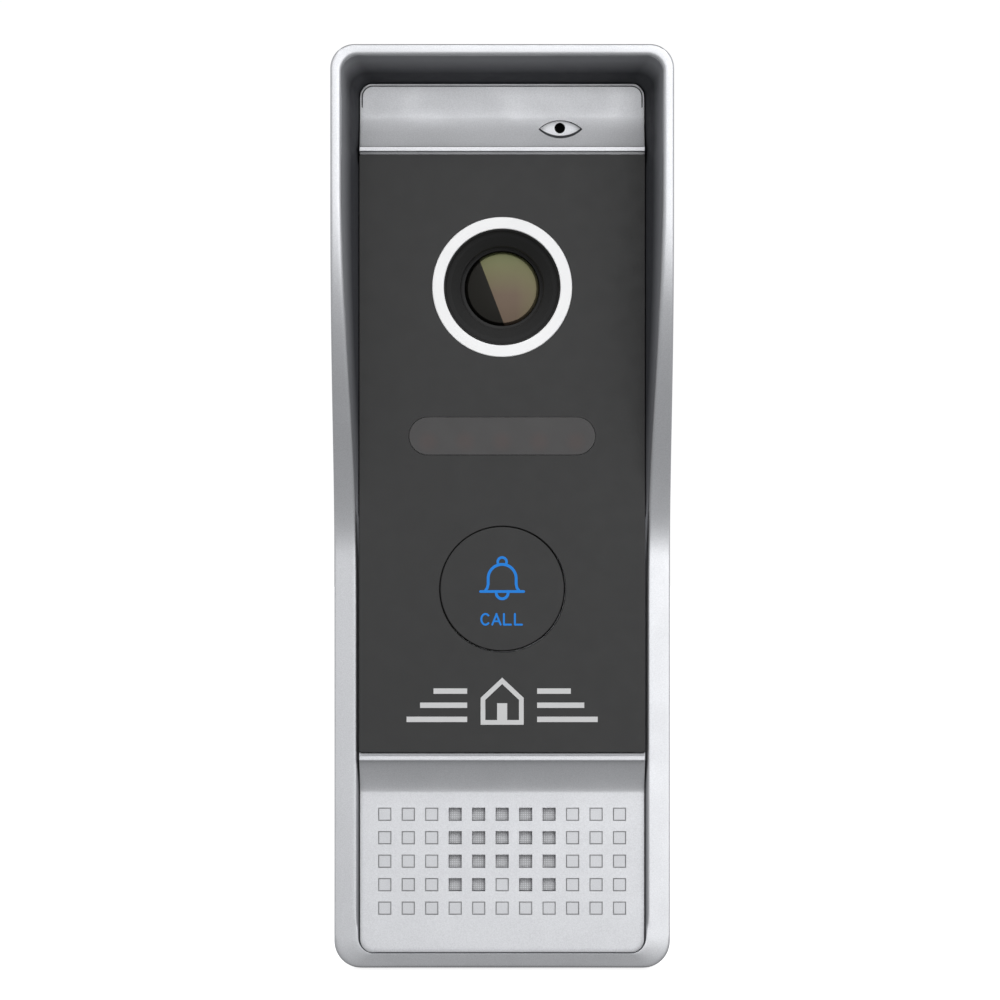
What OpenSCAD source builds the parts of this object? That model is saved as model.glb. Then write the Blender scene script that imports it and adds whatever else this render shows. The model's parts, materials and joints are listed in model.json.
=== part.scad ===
// Door station of a video intercom: a narrow camera unit under a deep rain hood, for a wall.
// Every piece is drawn lying on its back (x across, y up the wall, z out from the wall)
// and is stood up against the wall at the end. Millimetres.

/* [Hood] */
// Width of the rain hood
hood_w = 50; // [40:0.5:70]
// Height of the rain hood
hood_h = 136; // [110:1:180]
// Depth of the hood at its top, from the wall
hood_d = 38; // [26:0.5:50]
// Depth of the rim along the lower half
rim_low_d = 22; // [21:0.5:24]
// Width of the rim along the lower half
rim_low_w = 3.35; // [2.5:0.05:5]
// Width of the rim round the top of the hood
rim_top_w = 1.65; // [1.2:0.05:3]
// Height where the rim starts to rise
rise_start = -10; // [-30:1:0]
// Height where the rim reaches its full depth
rise_end = 41; // [20:1:55]
// Outer corner radius
hood_corner_r = 3.5; // [1:0.5:8]

/* [Camera unit] */
// Width of the unit's front
unit_w = 42.5; // [34:0.5:60]
// Height of the unit's top edge above the centre
unit_top = 63.8; // [50:0.1:80]
// Height of the unit's bottom edge
unit_bottom = -65.8; // [-80:0.1:-50]
// Top edge of the black face panel
panel_top = 53.2; // [40:0.1:60]
// Bottom edge of the black face panel
panel_bottom = -35.8; // [-50:0.1:-20]
// Height of the lens axis
lens_y = 33.35; // [20:0.05:45]
// Height of the infrared window
ir_y = 11.2; // [0:0.1:20]
// Height of the call button's centre
button_y = -11.5; // [-20:0.1:0]
// Radius of the call button
button_r = 9.2; // [6:0.1:12]
// How far the call button travels
button_travel = 0.6; // [0.3:0.1:1]

/* [Grille] */
// Columns of squares
grille_columns = 11; // [5:2:15]
// Rows of squares
grille_rows = 5; // [3:1:7]
// Side of one square
square_side = 1.96; // [1:0.02:3]
// Pitch of the squares
square_pitch = 3.5; // [2.5:0.1:5]
// Height of the top row
grille_top_y = -45.15; // [-55:0.05:-40]
// Height of the loudspeaker's axis
speaker_y = -50.4; // [-55:0.1:-45]

/* [Hidden] */
$fn = 64;
eps = 0.01;

// Depths from the wall
plate_t = 2;
unit_back = 3.4;
split_d = 12;
skin_inner = 19.3;
end_face = 20.8;
panel_seat = 21.2;
panel_back = 21.5;
panel_face = 23;
ridge_face = 23.2;

// Hood cavity
cavity_half = hood_w / 2 - rim_low_w;
cavity_top = hood_h / 2 - rim_low_w - 0.05;
cavity_bottom = unit_bottom - 0.15;
draft = (rim_low_w - rim_top_w) / (hood_d - rim_low_d);
rise_steps = 17;
lip_start = -63;
lip_drop = 1.5;

// Unit shells
wall_t = 1.6;
rear_inset = 0.4;
rear_half = unit_w / 2 - rear_inset;
rear_top = unit_top - rear_inset;
rear_bottom = unit_bottom + rear_inset;
rear_floor = unit_back + 2;
front_cavity_half = unit_w / 2 - 1.85;
cove_w = 4.4;
ridge_w = 0.9;
cove_steps = 6;

// Wall fixings and cable
wall_screw_x = 11;
wall_screw_y = 46;
wall_hole_r = 2.1;
cable_y = -27.5;
grommet_r = 5.2;
grommet_bore_r = 3.5;
hook_x = 10;

// Screws: [x, y] places and shank radii
housing_screw_at = [[-17.3, 59.2], [17.3, 59.2], [-17.3, -61], [17.3, -61]];
housing_shank_r = 0.95;
board_screw_at = [[-16, 50], [16, 50], [-16, -28], [16, -28]];
board_shank_r = 0.8;
camera_screw_at = [[-10.3, 10.3], [10.3, -10.3]];
camera_shank_r = 0.7;
shield_screw_at = [[-23.2, 55], [23.2, 55], [-23.2, 0], [23.2, 0], [-23.2, -55], [23.2, -55]];
shield_shank_r = 0.8;
thread_gap = 0.03;
lock_d = 8.4;
lock_shank_r = 1.45;

// Camera
bezel_r = 8.85;
ring_outer_r = 10.4;
ring_inner_r = 8.66;
glass_r = 5.5;
thread_r = 5.96;
camera_board_back = 6.4;
camera_board_front = 7.4;
camera_cutout = 27;

// Infrared window and lamps
window_w = 27.7;
window_r = 2.8;
led_pitch = 5.5;
led_r = 1.5;

// Button and switch
button_gap = 0.2;
flange_r = 10.2;
stem_end = 17.9;
plunger_r = 1.75;
icon_depth = 0.5;
stroke = 0.45;
letter_stroke = 0.28;
letter_w = 1.4;
letter_h = 1.85;
letter_gap = 0.28;
letters_y = -16.95;

// Microphone
mic_x = 8.6;
mic_y = 57.2;
mic_hole_r = 0.8;
eye_w = 6.6;
eye_h = 2.85;
eye_floor = 20;

// Loudspeaker
mesh_r = 11.4;
frame_r = 13;
frame_front = 18.4;
coil_inner_r = 4.7;
coil_outer_r = 5.3;
cone_r = 10.3;

// Circuit board and what stands on it
board_back = 9;
board_front = 10.6;
board_half = 18.5;
board_top = 55.5;
board_bottom = -36;
connector_y = -18;
pot_x = 12;
pot_y = 8;
rotor_r = 2;

// ---- Helpers -------------------------------------------------------------------------------

// Stands a piece, drawn on its back, up against the wall.
module stood() {
    rotate([90, 0, 0]) children();
}

// Rounded rectangle, centred across, from height y0 to y1.
module rounded(w, y0, y1, r) {
    translate([-w / 2 + r, y0]) square([w - 2 * r, y1 - y0]);
    translate([-w / 2, y0 + r]) square([w, y1 - y0 - 2 * r]);
    for (x = [-w / 2 + r, w / 2 - r], y = [y0 + r, y1 - r])
        translate([x, y]) circle(r);
}

// The same outline as a slab between two depths.
module slab(w, y0, y1, r, d0, d1) {
    translate([0, 0, d0]) linear_extrude(d1 - d0) rounded(w, y0, y1, r);
}

// Upright box between two corners.
module block(low, high) {
    translate(low) cube(high - low);
}

// Round bar between two depths.
module rod(r, d0, d1) {
    translate([0, 0, d0]) cylinder(r = r, h = d1 - d0);
}

// Ring between two depths.
module ring(outer_r, inner_r, d0, d1) {
    difference() {
        rod(outer_r, d0, d1);
        rod(inner_r, d0 - 1, d1 + 1);
    }
}

// Cross recess of a screw head, reaching r from its axis.
module driver_cross(r, d0, d1) {
    half = r * 0.25;
    block([-r, -half, d0], [r, half, d1]);
    block([-half, -r, d0], [half, r, d1]);
}

// Round-ended slot shape, centred on the origin.
module stadium(w, r, d0, d1) {
    translate([0, 0, d0]) linear_extrude(d1 - d0) {
        translate([-w / 2 + r, -r]) square([w - 2 * r, 2 * r]);
        for (x = [-w / 2 + r, w / 2 - r]) translate([x, 0]) circle(r);
    }
}

// A side profile, drawn as [height, depth], carried across the whole width.
module across(w) {
    translate([-w / 2, 0, 0]) rotate([90, 0, 90]) linear_extrude(w) children();
}

// Places its children at each [x, y].
module at_each(places) {
    for (p = places) translate([p[0], p[1], 0]) children();
}

// Smooth step from 0 to 1.
function ease(t) = t * t * (3 - 2 * t);

// Depth of the hood's rim at one step of its rise.
function rise_point(i) = [
    rise_start + (rise_end - rise_start) * i / rise_steps,
    rim_low_d + (hood_d - rim_low_d) * ease(i / rise_steps)
];

// Concave band that falls from a ridge to an end face, towards dir.
function cove_point(y0, dir, i) = [
    y0 + dir * cove_w * i / cove_steps,
    ridge_face - (ridge_face - end_face) * ease(i / cove_steps)
];

// Places of the grille squares; the open ones sit over the loudspeaker.
function column_x(c) = (c - (grille_columns - 1) / 2) * square_pitch;
function row_y(r) = grille_top_y - r * square_pitch;
middle_column = (grille_columns - 1) / 2;
function is_open(c, r) =
    abs(c - middle_column) <= 2 && r <= 3 && !(c == middle_column && r == 3);

// ---- Hood, wall plate and their fixings ---------------------------------------------------------

module hood_profile() {
    polygon(concat(
        [[-hood_h, plate_t], [hood_h, plate_t], [hood_h, hood_d]],
        [for (i = [rise_steps:-1:0]) rise_point(i)],
        [[lip_start, rim_low_d], [-hood_h / 2, rim_low_d - lip_drop],
         [-hood_h, rim_low_d - lip_drop]]
    ));
}

module hood_cavity() {
    slab(2 * cavity_half, cavity_bottom, cavity_top, 2, 0, rim_low_d);
    grow = draft * (hood_d - rim_low_d + 1);
    hull() {
        slab(2 * cavity_half, cavity_bottom, cavity_top, 2, rim_low_d - eps, rim_low_d, $fn = 32);
        slab(2 * (cavity_half + grow), cavity_bottom, cavity_top + grow, 2.3,
             hood_d + 1, hood_d + 1 + eps, $fn = 32);
    }
}

module rain_shield() {
    color("silver") stood() difference() {
        intersection() {
            slab(hood_w, -hood_h / 2, hood_h / 2, hood_corner_r, plate_t, hood_d);
            across(hood_w + 2) hood_profile();
        }
        hood_cavity();
        at_each(shield_screw_at) rod(shield_shank_r + thread_gap, 0, 8.1);
        translate([0, 0, lock_d]) rotate([90, 0, 0]) {
            cylinder(r = 1.7, h = hood_h);
            translate([0, 0, hood_h / 2 - 1.5]) cylinder(r1 = 1.7, r2 = 3, h = 1.6);
        }
    }
}

module plate_hook() {
    block([-2.5, 57, plate_t - 0.5], [2.5, 59, 6.8]);
    block([-2.5, 57, 5.6], [2.5, 61.2, 6.8]);
}

module wall_plate() {
    color("dimgray") stood() {
        difference() {
            slab(hood_w - 0.6, -hood_h / 2 + 0.3, hood_h / 2 - 0.3, 3.2, 0, plate_t);
            translate([0, cable_y, 0]) rod(grommet_r + 0.05, -1, 3);
            at_each(shield_screw_at) {
                rod(0.95, -1, 3);
                rod(1.25, -1, 0.8);
            }
            for (x = [-wall_screw_x, wall_screw_x], y = [-wall_screw_y, wall_screw_y])
                translate([x, y, 0]) {
                    rod(wall_hole_r, -1, 3);
                    translate([0, 0, 1]) cylinder(r1 = wall_hole_r, r2 = 3.9, h = 1 + eps);
                }
        }
        for (x = [-hook_x, hook_x]) translate([x, 0, 0]) plate_hook();
        for (x = [-16, 16], y = [-35, 30])
            translate([x, y, 0]) rod(2.5, plate_t - 0.5, unit_back);
    }
}

module shield_screws() {
    color("gray") stood() at_each(shield_screw_at) difference() {
        union() {
            rod(1.2, 0.05, 0.8);
            rod(shield_shank_r, 0.7, 8);
        }
        driver_cross(0.7, 0, 0.45);
    }
}

module cable_grommet() {
    color("black") stood() translate([0, cable_y, 0]) difference() {
        union() {
            rod(grommet_r, 0, plate_t + 0.4);
            rod(6.6, plate_t, plate_t + 0.9);
        }
        rod(grommet_bore_r, -1, 4);
    }
}

// ---- Unit shells ----------------------------------------------------------------------------------

module gasket_path(gap) {
    difference() {
        slab(2 * rear_half - 0.9 + 2 * gap, rear_bottom + 0.45 - gap, rear_top - 0.45 + gap, 1.4,
             11.2 - gap, split_d);
        slab(2 * rear_half - 2.3 - 2 * gap, rear_bottom + 1.15 + gap, rear_top - 1.15 - gap, 0.7,
             11, split_d + 1);
    }
}

module rear_housing() {
    color("dimgray") stood() difference() {
        union() {
            difference() {
                slab(2 * rear_half, rear_bottom, rear_top, 1.8, unit_back, split_d);
                slab(2 * (rear_half - wall_t), rear_bottom + wall_t, rear_top - wall_t, 1,
                     rear_floor, split_d + 1);
                gasket_path(thread_gap);
            }
            block([-13.2, -33.2, unit_back + 1], [13.2, -8.8, 8]);
            at_each(housing_screw_at) rod(2.4, rear_floor - 0.5, split_d);
            translate([0, -57.9, lock_d]) rotate([90, 0, 0]) cylinder(r = 3.2, h = 6.1);
        }
        block([-12, -32, 0], [12, -10, 6.8]);
        block([-5.5, connector_y - 3.3, 0], [5.5, connector_y + 3.3, 9]);
        at_each(housing_screw_at) {
            rod(1.1, 0, split_d + 1);
            rod(2.15, 0, 5);
        }
        for (x = [-hook_x, hook_x])
            translate([x, 0, 0]) block([-3, 54, 0], [3, 59.2, rear_floor + 1]);
        translate([0, 0, lock_d]) rotate([90, 0, 0])
            translate([0, 0, 50]) cylinder(r = lock_shank_r + thread_gap, h = 30);
        translate([pot_x, pot_y, 0]) rod(2.3, 0, rear_floor + 1);
    }
}

module housing_gasket() {
    color("black") stood() gasket_path(0);
}

module housing_screws() {
    color("gray") stood() at_each(housing_screw_at) difference() {
        union() {
            rod(2, 3.6, 5);
            rod(housing_shank_r, 4.9, 16);
        }
        driver_cross(1.1, 3, 4.4);
    }
}

module lock_screw() {
    color("gray") stood() translate([0, 0, lock_d]) rotate([90, 0, 0]) difference() {
        union() {
            translate([0, 0, 58.6]) cylinder(r = lock_shank_r, h = 8.2);
            translate([0, 0, 66.5]) cylinder(r1 = lock_shank_r, r2 = 2.6, h = 1.2);
        }
        translate([0, 0, 66.9]) cylinder(r = 1, h = 2, $fn = 6);
    }
}

module front_profile() {
    ridge_top = panel_top + 0.2 + ridge_w;
    ridge_bottom = panel_bottom - 0.4 - ridge_w;
    polygon(concat(
        [[unit_bottom - 1, split_d], [unit_top + 1, split_d], [unit_top + 1, end_face]],
        [for (i = [cove_steps:-1:0]) cove_point(ridge_top, 1, i)],
        [[panel_top + 0.25, ridge_face], [panel_top + 0.05, panel_face],
         [panel_top + 0.05, panel_seat], [panel_bottom - 0.05, panel_seat],
         [panel_bottom - 0.05, panel_face - 0.2], [panel_bottom - 0.45, ridge_face]],
        [for (i = [0:cove_steps]) cove_point(ridge_bottom, -1, i)],
        [[unit_bottom - 1, end_face]]
    ));
}

module grille_square(x, y, d0, d1) {
    half = square_side / 2;
    block([x - half, y - half, d0], [x + half, y + half, d1]);
}

// Almond-shaped recess round the microphone hole: two arcs that cross at its corners.
module eye_shape() {
    arc_r = (eye_w * eye_w / 4 + eye_h * eye_h / 4) / eye_h;
    intersection() {
        translate([0, arc_r - eye_h / 2]) circle(arc_r, $fn = 128);
        translate([0, eye_h / 2 - arc_r]) circle(arc_r, $fn = 128);
    }
}

module front_bosses() {
    at_each(housing_screw_at) rod(2.4, split_d, skin_inner + 0.5);
    at_each(board_screw_at) rod(2, board_front, skin_inner + 0.5);
    translate([0, lens_y, 0]) at_each(camera_screw_at)
        rod(1.7, camera_board_front, skin_inner + 0.5);
    translate([0, speaker_y, 0]) intersection() {
        ring(14.2, frame_r + 0.1, 17.4, skin_inner + 0.5);
        block([-20, -13.4, 0], [20, 20, 30]);
    }
    translate([0, button_y, 0]) ring(flange_r + 1.3, flange_r + 0.3, 17.6, skin_inner + 0.5);
}

module front_openings() {
    translate([0, lens_y, 0]) rod(bezel_r + 0.05, 15, 25);
    translate([0, ir_y, 0]) stadium(26.6, 2.3, 15, 25);
    translate([0, button_y, 0]) rod(button_r + button_gap, 15, 25);
    translate([mic_x, mic_y, 0]) {
        rod(mic_hole_r, 15, 25);
        translate([0, 0, eye_floor]) linear_extrude(5) eye_shape();
    }
    for (c = [0:grille_columns - 1], r = [0:grille_rows - 1])
        grille_square(column_x(c), row_y(r), is_open(c, r) ? 15 : end_face - 0.45, 25);
}

module front_housing() {
    color("silver") stood() difference() {
        union() {
            difference() {
                intersection() {
                    slab(unit_w, unit_bottom, unit_top, 2, split_d, 25);
                    across(unit_w + 2) front_profile();
                }
                slab(2 * front_cavity_half, unit_bottom + 1.9, unit_top - 1.9, 1, 10, skin_inner);
            }
            front_bosses();
        }
        front_openings();
        at_each(housing_screw_at) rod(housing_shank_r + thread_gap, 10, 16.2);
        at_each(board_screw_at) rod(board_shank_r + thread_gap, 10, 15.2);
        translate([0, lens_y, 0]) at_each(camera_screw_at)
            rod(camera_shank_r + thread_gap, 7, 12.2);
    }
}

module face_panel() {
    color([0.12, 0.12, 0.12]) stood() difference() {
        slab(unit_w, panel_bottom, panel_top, 0.3, panel_back, panel_face);
        translate([0, lens_y, 0]) rod(ring_outer_r + 0.05, 20, 25);
        translate([0, ir_y, 0]) stadium(window_w + 0.1, window_r + 0.05, 20, 25);
        translate([0, button_y, 0]) rod(button_r + button_gap, 20, 25);
    }
}

module panel_adhesive() {
    color("khaki") stood() difference() {
        slab(unit_w - 2.5, panel_bottom + 1, panel_top - 1, 1, panel_seat, panel_back);
        translate([0, lens_y, 0]) rod(11, 20, 25);
        translate([0, ir_y, 0]) stadium(window_w + 1.7, window_r + 0.85, 20, 25);
        translate([0, button_y, 0]) rod(10.4, 20, 25);
    }
}

// Printed mark: a plain house outline between three bars on each side.
module house_outline() {
    difference() {
        polygon([[-3.2, -3.4], [3.2, -3.4], [3.2, 0.6], [0, 3.6], [-3.2, 0.6]]);
        polygon([[-2.5, -2.7], [2.5, -2.7], [2.5, 0.3], [0, 2.65], [-2.5, 0.3]]);
    }
    translate([-0.75, -2.8]) square([1.5, 2.6]);
}

module panel_mark() {
    mark_y = -28.3;
    bar_w = [9, 7, 5];
    color("lightgray") stood() translate([0, mark_y, panel_face]) linear_extrude(0.08) {
        house_outline();
        for (side = [-1, 1], i = [0:2])
            translate([side * (5.2 + bar_w[i] / 2), -2.6 + 2.1 * i])
                square([bar_w[i], 0.8], center = true);
    }
}

// ---- Camera -----------------------------------------------------------------------------------------

module lens_ring() {
    color("white") stood() translate([0, lens_y, 0]) rotate_extrude()
        polygon([[ring_inner_r, 21.6], [ring_outer_r, 21.6], [ring_outer_r, 23.05],
                 [ring_outer_r - 0.15, 23.2], [ring_inner_r + 0.15, 23.2],
                 [ring_inner_r, 23.05]]);
}

module lens_bezel() {
    color([0.1, 0.1, 0.1]) stood() translate([0, lens_y, 0]) rotate_extrude()
        polygon([[6, 18.6], [bezel_r, 18.6], [bezel_r, panel_seat], [ring_outer_r, panel_seat],
                 [ring_outer_r, 21.6], [8.6, 21.6], [8.6, 22.9], [8.3, 22.9], [7.7, 21.6],
                 [7.4, 21.6], [6.7, 19.6], [6.4, 19.6]]);
}

module lens_seal() {
    color("black") stood() translate([0, lens_y, 0]) ring(8.4, 6.85, 17.2, 18.6);
}

module lens_barrel() {
    color([0.15, 0.15, 0.15]) stood() translate([0, lens_y, 0]) difference() {
        union() {
            rod(thread_r, 10.2, 15.3);
            rod(6.8, 15.2, 18.2);
        }
        rod(3.5, 10, 19);
        rod(glass_r + 0.02, 16.4, 19);
    }
}

module front_lens() {
    dome_r = 14;
    color([0.3, 0.4, 0.35]) stood() translate([0, lens_y, 0]) intersection() {
        rod(glass_r, 16.4, 19);
        translate([0, 0, 18.3 - dome_r]) sphere(r = dome_r, $fn = 128);
    }
}

module rear_lens() {
    color([0.4, 0.5, 0.5]) stood() translate([0, lens_y, 0]) rod(3.47, 10.5, 12);
}

module lens_holder() {
    color([0.15, 0.15, 0.15]) stood() translate([0, lens_y, 0]) difference() {
        union() {
            block([-7.5, -7.5, camera_board_front], [7.5, 7.5, 10.4]);
            rod(7.2, 10.3, 14.4);
        }
        block([-4.6, -4.6, 7], [4.6, 4.6, 9.2]);
        block([-4.1, -4.1, 7], [4.1, 4.1, 9.8]);
        rod(thread_r + 0.04, 9.7, 15);
    }
}

module ir_cut_filter() {
    color([0.5, 0.3, 0.4]) stood() translate([0, lens_y, 0])
        block([-4.05, -4.05, 9.2], [4.05, 4.05, 9.5]);
}

module image_sensor() {
    color([0.2, 0.2, 0.3]) stood() translate([0, lens_y, 0]) {
        block([-3.6, -3.2, camera_board_front], [3.6, 3.2, 8.2]);
    }
}

module camera_board() {
    color("darkgreen") stood() translate([0, lens_y, 0]) difference() {
        slab(24, -12, 12, 1, camera_board_back, camera_board_front);
        at_each(camera_screw_at) rod(0.85, 5, 9);
    }
}

module camera_screws() {
    color("gray") stood() translate([0, lens_y, 0]) at_each(camera_screw_at) difference() {
        union() {
            rod(1.4, 5.6, camera_board_back);
            rod(camera_shank_r, camera_board_back - 0.1, 12);
        }
        driver_cross(0.8, 5, 6.2);
    }
}

// ---- Infrared lamps -----------------------------------------------------------------------------------

module ir_window() {
    color([0.2, 0.15, 0.15]) stood() translate([0, ir_y, 0]) {
        stadium(window_w + 1.2, window_r + 0.6, panel_seat, panel_back);
        stadium(window_w, window_r, panel_back - 0.1, panel_face);
    }
}

module ir_leds() {
    color([0.6, 0.4, 0.5]) stood() for (i = [-2:2]) translate([i * led_pitch, ir_y, 0]) {
        rod(1.75, 14, 14.8);
        rod(led_r, 14.5, 17.6);
        translate([0, 0, 17.6]) intersection() {
            sphere(r = led_r, $fn = 48);
            rod(led_r, 0, 2);
        }
        for (x = [-1.27 / 2, 1.27 / 2]) translate([x, 0, 0])
            block([-0.25, -0.25, board_front], [0.25, 0.25, 14.2]);
    }
}

module ir_led_holder() {
    color([0.15, 0.15, 0.15]) stood() translate([0, ir_y, 0]) difference() {
        slab(29, -3, 3, 1, board_front, 16);
        for (i = [-2:2]) translate([i * led_pitch, 0, 0]) {
            rod(1.8, 13.9, 17);
            rod(1.3, 10, 15);
        }
        block([led_pitch / 2 - 0.7, -3.5, 13], [led_pitch / 2 + 0.7, 0.8, 17]);
    }
}

module light_sensor() {
    color([0.8, 0.7, 0.5]) stood() translate([led_pitch / 2, ir_y, 0])
        block([-0.6, -1.2, 13], [0.6, 0.6, 14]);
}

// ---- Call button ----------------------------------------------------------------------------------------

// Bell outline: dome with a flared foot, a base bar, a loop on top and a half clapper.
module bell_shape() {
    dome_y = -10;
    dome_r = 2.3;
    foot_y = -11.9;
    difference() {
        union() {
            translate([0, dome_y]) circle(dome_r);
            polygon([[-dome_r, dome_y], [dome_r, dome_y], [dome_r, foot_y + 0.5],
                     [dome_r + 0.75, foot_y], [-dome_r - 0.75, foot_y],
                     [-dome_r, foot_y + 0.5]]);
        }
        translate([0, dome_y]) circle(dome_r - stroke);
        polygon([[-dome_r + stroke, dome_y], [dome_r - stroke, dome_y],
                 [dome_r - stroke, foot_y - 1], [-dome_r + stroke, foot_y - 1]]);
    }
    translate([-3.4, foot_y - stroke / 2]) square([6.8, stroke]);
    difference() {
        translate([0, -7.57]) circle(0.87);
        translate([0, -7.57]) circle(0.87 - stroke);
        translate([-2, dome_y]) square([4, dome_r - stroke / 2]);
    }
    difference() {
        translate([0, foot_y - 0.2]) circle(1.1);
        translate([0, foot_y - 0.2]) circle(1.1 - stroke);
        translate([-2, foot_y]) square([4, 2]);
    }
}

// Round letter: two half rings joined down the left, open on the right.
module letter_c() {
    r = letter_w / 2;
    difference() {
        union() {
            translate([r, r]) circle(r);
            translate([r, letter_h - r]) circle(r);
            translate([0, r]) square([letter_w, letter_h - letter_w]);
        }
        translate([r, r]) circle(r - letter_stroke);
        translate([r, letter_h - r]) circle(r - letter_stroke);
        translate([letter_stroke, r])
            square([letter_w - 2 * letter_stroke, letter_h - letter_w]);
        translate([r + 0.15, r]) square([letter_w, letter_h - letter_w]);
        translate([r + 0.32, r - 0.2]) square([letter_w, letter_h - letter_w + 0.4]);
    }
}

// Pointed letter with a crossbar.
module letter_a() {
    slant = letter_stroke * 1.1;
    middle = letter_w / 2;
    polygon([[0, 0], [slant, 0], [middle, letter_h - 0.55], [letter_w - slant, 0],
             [letter_w, 0], [middle + 0.16, letter_h], [middle - 0.16, letter_h]]);
    translate([0.28, 0.42]) square([letter_w - 0.56, letter_stroke * 0.9]);
}

module letter_l() {
    square([letter_stroke, letter_h]);
    square([letter_w, letter_stroke]);
}

module call_word() {
    pitch = letter_w + letter_gap;
    translate([-2 * pitch + letter_gap / 2, letters_y]) {
        letter_c();
        translate([pitch, 0]) letter_a();
        translate([2 * pitch, 0]) letter_l();
        translate([3 * pitch, 0]) letter_l();
    }
}

module icon_solid(d1) {
    translate([0, 0, panel_face - icon_depth]) linear_extrude(d1 - panel_face + icon_depth) {
        bell_shape();
        call_word();
    }
}

module button_cap() {
    color([0.12, 0.12, 0.12]) stood() difference() {
        translate([0, button_y, 0]) {
            rod(button_r, 21.4, panel_face);
            ring(button_r, 8.2, 19, 21.5);
            ring(flange_r, 8.2, 18.4, 19.2);
            rod(1.6, stem_end, 21.5);
        }
        icon_solid(panel_face + 1);
    }
}

module button_icon() {
    color([0.1, 0.5, 1]) stood() icon_solid(panel_face);
}

module button_light_guide() {
    color([0.8, 0.9, 1]) stood() translate([0, button_y, 0]) ring(8.1, 1.7, 19.8, 21.4);
}

module button_leds() {
    color("white") stood() for (x = [-5.2, 5.2]) translate([x, button_y, 0])
        block([-1.75, -1.4, board_front], [1.75, 1.4, 12.5]);
}

module switch_body() {
    color([0.1, 0.1, 0.1]) stood() translate([0, button_y, 0]) difference() {
        block([-3, -3, board_front], [3, 3, 14.1]);
        rod(plunger_r + 0.05, 11, 15);
    }
}

module switch_plunger() {
    color([0.2, 0.2, 0.2]) stood() translate([0, button_y, 0]) rod(plunger_r, 11.8, stem_end);
}

// ---- Loudspeaker ------------------------------------------------------------------------------------------

module speaker_mesh() {
    color([0.35, 0.35, 0.35]) stood() translate([0, speaker_y, 0]) rod(mesh_r, 19.1, skin_inner);
}

module speaker_gasket() {
    color("black") stood() translate([0, speaker_y, 0])
        ring(frame_r, mesh_r + 0.1, frame_front, skin_inner);
}

module speaker_frame() {
    color("gray") stood() translate([0, speaker_y, 0]) difference() {
        union() {
            ring(frame_r, 11.7, 14.6, frame_front);
            ring(frame_r, 7.2, 13.8, 14.7);
        }
        for (a = [45:90:315]) rotate([0, 0, a]) translate([9.8, 0, 0]) rod(1.6, 13, 15);
    }
}

module speaker_magnet() {
    color("dimgray") stood() translate([0, speaker_y, 0]) difference() {
        rod(7.17, 10.8, 14.6);
        difference() {
            rod(coil_outer_r + 0.2, 12, 15);
            rod(coil_inner_r - 0.2, 11, 16);
        }
    }
}

module speaker_surround() {
    color([0.2, 0.2, 0.2]) stood() translate([0, speaker_y, 0]) rotate_extrude()
        polygon([[cone_r + 0.1, 17.2], [10.6, 17.6], [11, 17.85], [11.4, 17.6], [11.68, 17.2],
                 [11.68, 17.5], [11.5, 17.9], [11, 18.2], [10.5, 17.9], [cone_r + 0.1, 17.5]]);
}

module speaker_cone() {
    color([0.3, 0.3, 0.3]) stood() translate([0, speaker_y, 0]) rotate_extrude()
        polygon([[0, 16.6], [3, 16.2], [coil_outer_r, 15.6], [cone_r, 17.2], [cone_r, 17.5],
                 [coil_outer_r, 15.95], [3, 16.6], [0, 17]]);
}

module voice_coil() {
    color("darkorange") stood() translate([0, speaker_y, 0])
        ring(coil_outer_r, coil_inner_r, 12.9, 15.5);
}

// ---- Microphone --------------------------------------------------------------------------------------------

module mic_boot() {
    color("black") stood() translate([mic_x, mic_y, 0]) difference() {
        rod(4, 15.7, skin_inner);
        rod(3.02, 15, 18.3);
        rod(mic_hole_r, 15, 20);
    }
}

module mic_capsule() {
    color("silver") stood() translate([mic_x, mic_y, 0]) rod(3, 15.6, 18.3);
}

// ---- Circuit board ------------------------------------------------------------------------------------------

module main_board() {
    half_cut = camera_cutout / 2;
    color("darkgreen") stood() difference() {
        slab(2 * board_half, board_bottom, board_top, 1, board_back, board_front);
        block([-half_cut, lens_y - half_cut, 8], [half_cut, lens_y + half_cut, 12]);
        at_each(board_screw_at) rod(0.95, 8, 12);
    }
}

module board_chips() {
    color([0.1, 0.1, 0.1]) stood() {
        block([-15, -7, board_front], [-8, 0, 11.8]);
        block([8, -8, board_front], [13, -3, 11.6]);
        block([-12, -24, board_front], [-7, -20, 11.9]);
        block([-17, 24, board_front], [-14.5, 30, 11.6]);
        block([14.5, 34, board_front], [17, 40, 11.6]);
    }
}

module capacitors() {
    color([0.2, 0.25, 0.4]) stood()
        at_each([[11, -24], [4.5, -27], [-14.5, 3], [14.5, 3]]) rod(2.4, board_front, 16);
}

module wire_connector() {
    color("ivory") stood() translate([0, connector_y, 0]) difference() {
        block([-5.2, -3, 4.6], [5.2, 3, board_back]);
        block([-4.5, -2.3, 4], [4.5, 2.3, 7.4]);
        for (i = [-1.5:1.5]) translate([i * 2.2, 0, 0])
            block([-0.34, -0.34, 7], [0.34, 0.34, 9.5]);
    }
}

module connector_pins() {
    color("gold") stood() translate([0, connector_y, 0]) for (i = [-1.5:1.5])
        translate([i * 2.2, 0, 0]) block([-0.32, -0.32, 5.2], [0.32, 0.32, board_back]);
}

module volume_pot_body() {
    color("royalblue") stood() translate([pot_x, pot_y, 0]) difference() {
        block([-3.3, -3.3, 6.2], [3.3, 3.3, board_back]);
        rod(rotor_r + 0.05, 6, 8);
    }
}

module volume_rotor() {
    color("white") stood() translate([pot_x, pot_y, 0]) difference() {
        rod(rotor_r, 5.7, 7.9);
        block([-1.5, -0.3, 5], [1.5, 0.3, 6.4]);
        block([-0.3, -1.5, 5], [0.3, 1.5, 6.4]);
    }
}

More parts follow.
